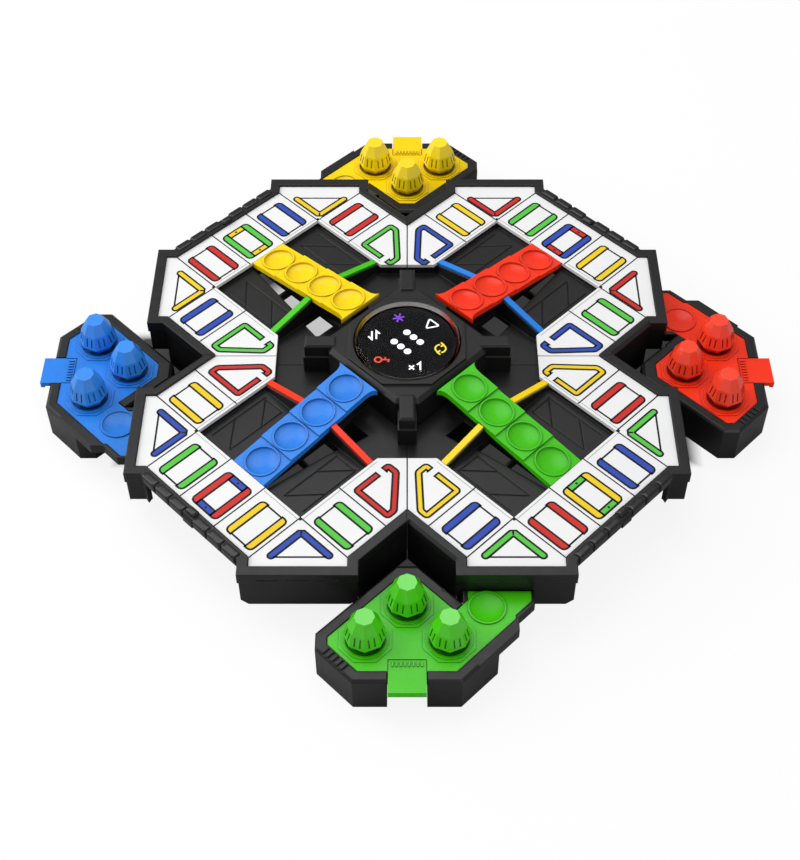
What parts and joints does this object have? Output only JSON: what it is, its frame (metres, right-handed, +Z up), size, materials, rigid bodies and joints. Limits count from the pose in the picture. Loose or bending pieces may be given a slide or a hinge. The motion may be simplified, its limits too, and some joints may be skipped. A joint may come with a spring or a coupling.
{
  "type": "electronic ludo game",
  "caption": "Tabletop ludo game: path-tile arms with stepped home columns round a push-button electronic dice display, and player boxes with lift-out trays and pawns.",
  "frame": {"origin": "on the table below the centre of the hub", "axes": "+Z up, -Y towards the green player box, +X towards the red player box"},
  "size_m": [0.3648, 0.3648, 0.0452],
  "materials": {
    "black_plastic": "satin, fine texture",
    "white_plastic": "satin, printed",
    "green_plastic": "semi-gloss",
    "red_plastic": "semi-gloss",
    "yellow_plastic": "semi-gloss",
    "blue_plastic": "semi-gloss",
    "clear_plastic": "gloss, see-through",
    "display_black": "gloss, printed",
    "board_green": "satin",
    "light_white": "satin",
    "steel": "satin",
    "cell_case": "gloss",
    "foot_rubber": "matt"
  },
  "bodies": {
    "board": {"arm_frame_green": "black_plastic", "arm_frame_red": "black_plastic", "arm_frame_yellow": "black_plastic", "arm_frame_blue": "black_plastic", "tile_plate_green": "white_plastic", "tile_plate_red": "white_plastic", "tile_plate_yellow": "white_plastic", "tile_plate_blue": "white_plastic", "home_column_green": "green_plastic", "home_column_red": "red_plastic", "home_column_yellow": "yellow_plastic", "home_column_blue": "blue_plastic", "shortcut_strips_green": "yellow_plastic", "shortcut_strips_red": "blue_plastic", "shortcut_strips_yellow": "green_plastic", "shortcut_strips_blue": "red_plastic", "hub_base": "black_plastic", "hub_cover": "black_plastic", "main_board": "board_green", "display_lights": "light_white", "roll_switch": "steel", "speaker": "steel", "switch_case": "steel", "battery_door": "black_plastic", "door_screw": "steel", "case_screws": "steel", "battery_cells": "cell_case", "battery_contacts": "steel", "rubber_feet": "foot_rubber"},
    "roll_button": {"display_lens": "clear_plastic", "display_face": "display_black", "button_carrier": "black_plastic"},
    "power_slider": {"switch_slider": "black_plastic"},
    "box_green": {"player_box_green": "black_plastic"},
    "tray_green": {"piece_tray_green": "green_plastic"},
    "pawn_green_1": {"pawn_green_1": "green_plastic"},
    "pawn_green_2": {"pawn_green_2": "green_plastic"},
    "pawn_green_3": {"pawn_green_3": "green_plastic"},
    "box_red": {"player_box_red": "black_plastic"},
    "tray_red": {"piece_tray_red": "red_plastic"},
    "pawn_red_1": {"pawn_red_1": "red_plastic"},
    "pawn_red_2": {"pawn_red_2": "red_plastic"},
    "pawn_red_3": {"pawn_red_3": "red_plastic"},
    "box_yellow": {"player_box_yellow": "black_plastic"},
    "tray_yellow": {"piece_tray_yellow": "yellow_plastic"},
    "pawn_yellow_1": {"pawn_yellow_1": "yellow_plastic"},
    "pawn_yellow_2": {"pawn_yellow_2": "yellow_plastic"},
    "pawn_yellow_3": {"pawn_yellow_3": "yellow_plastic"},
    "box_blue": {"player_box_blue": "black_plastic"},
    "tray_blue": {"piece_tray_blue": "blue_plastic"},
    "pawn_blue_1": {"pawn_blue_1": "blue_plastic"},
    "pawn_blue_2": {"pawn_blue_2": "blue_plastic"},
    "pawn_blue_3": {"pawn_blue_3": "blue_plastic"}
  },
  "joints": [
    {"name": "roll_button_press", "type": "slide", "parent": "board", "child": "roll_button", "axis": [0, 0, -1], "range_m": [0, 0.0015], "stiffness_N_per_m": 600, "springref_m": -0.002},
    {"name": "power_switch", "type": "slide", "parent": "board", "child": "power_slider", "axis": [0, 1, 0], "range_m": [0, 0.004]},
    {"name": "box_green_slide", "type": "slide", "parent": "board", "child": "box_green", "axis": [0, -1, 0], "range_m": [0, 0.06]},
    {"name": "tray_green_lift", "type": "slide", "parent": "box_green", "child": "tray_green", "axis": [0, 0, 1], "range_m": [0, 0.05]},
    {"name": "pawn_green_1_lift", "type": "slide", "parent": "tray_green", "child": "pawn_green_1", "axis": [0, 0, 1], "range_m": [0, 0.05]},
    {"name": "pawn_green_2_lift", "type": "slide", "parent": "tray_green", "child": "pawn_green_2", "axis": [0, 0, 1], "range_m": [0, 0.05]},
    {"name": "pawn_green_3_lift", "type": "slide", "parent": "tray_green", "child": "pawn_green_3", "axis": [0, 0, 1], "range_m": [0, 0.05]},
    {"name": "box_red_slide", "type": "slide", "parent": "board", "child": "box_red", "axis": [1, 0, 0], "range_m": [0, 0.06]},
    {"name": "tray_red_lift", "type": "slide", "parent": "box_red", "child": "tray_red", "axis": [0, 0, 1], "range_m": [0, 0.05]},
    {"name": "pawn_red_1_lift", "type": "slide", "parent": "tray_red", "child": "pawn_red_1", "axis": [0, 0, 1], "range_m": [0, 0.05]},
    {"name": "pawn_red_2_lift", "type": "slide", "parent": "tray_red", "child": "pawn_red_2", "axis": [0, 0, 1], "range_m": [0, 0.05]},
    {"name": "pawn_red_3_lift", "type": "slide", "parent": "tray_red", "child": "pawn_red_3", "axis": [0, 0, 1], "range_m": [0, 0.05]},
    {"name": "box_yellow_slide", "type": "slide", "parent": "board", "child": "box_yellow", "axis": [0, 1, 0], "range_m": [0, 0.06]},
    {"name": "tray_yellow_lift", "type": "slide", "parent": "box_yellow", "child": "tray_yellow", "axis": [0, 0, 1], "range_m": [0, 0.05]},
    {"name": "pawn_yellow_1_lift", "type": "slide", "parent": "tray_yellow", "child": "pawn_yellow_1", "axis": [0, 0, 1], "range_m": [0, 0.05]},
    {"name": "pawn_yellow_2_lift", "type": "slide", "parent": "tray_yellow", "child": "pawn_yellow_2", "axis": [0, 0, 1], "range_m": [0, 0.05]},
    {"name": "pawn_yellow_3_lift", "type": "slide", "parent": "tray_yellow", "child": "pawn_yellow_3", "axis": [0, 0, 1], "range_m": [0, 0.05]},
    {"name": "box_blue_slide", "type": "slide", "parent": "board", "child": "box_blue", "axis": [-1, 0, 0], "range_m": [0, 0.06]},
    {"name": "tray_blue_lift", "type": "slide", "parent": "box_blue", "child": "tray_blue", "axis": [0, 0, 1], "range_m": [0, 0.05]},
    {"name": "pawn_blue_1_lift", "type": "slide", "parent": "tray_blue", "child": "pawn_blue_1", "axis": [0, 0, 1], "range_m": [0, 0.05]},
    {"name": "pawn_blue_2_lift", "type": "slide", "parent": "tray_blue", "child": "pawn_blue_2", "axis": [0, 0, 1], "range_m": [0, 0.05]},
    {"name": "pawn_blue_3_lift", "type": "slide", "parent": "tray_blue", "child": "pawn_blue_3", "axis": [0, 0, 1], "range_m": [0, 0.05]}
  ]
}
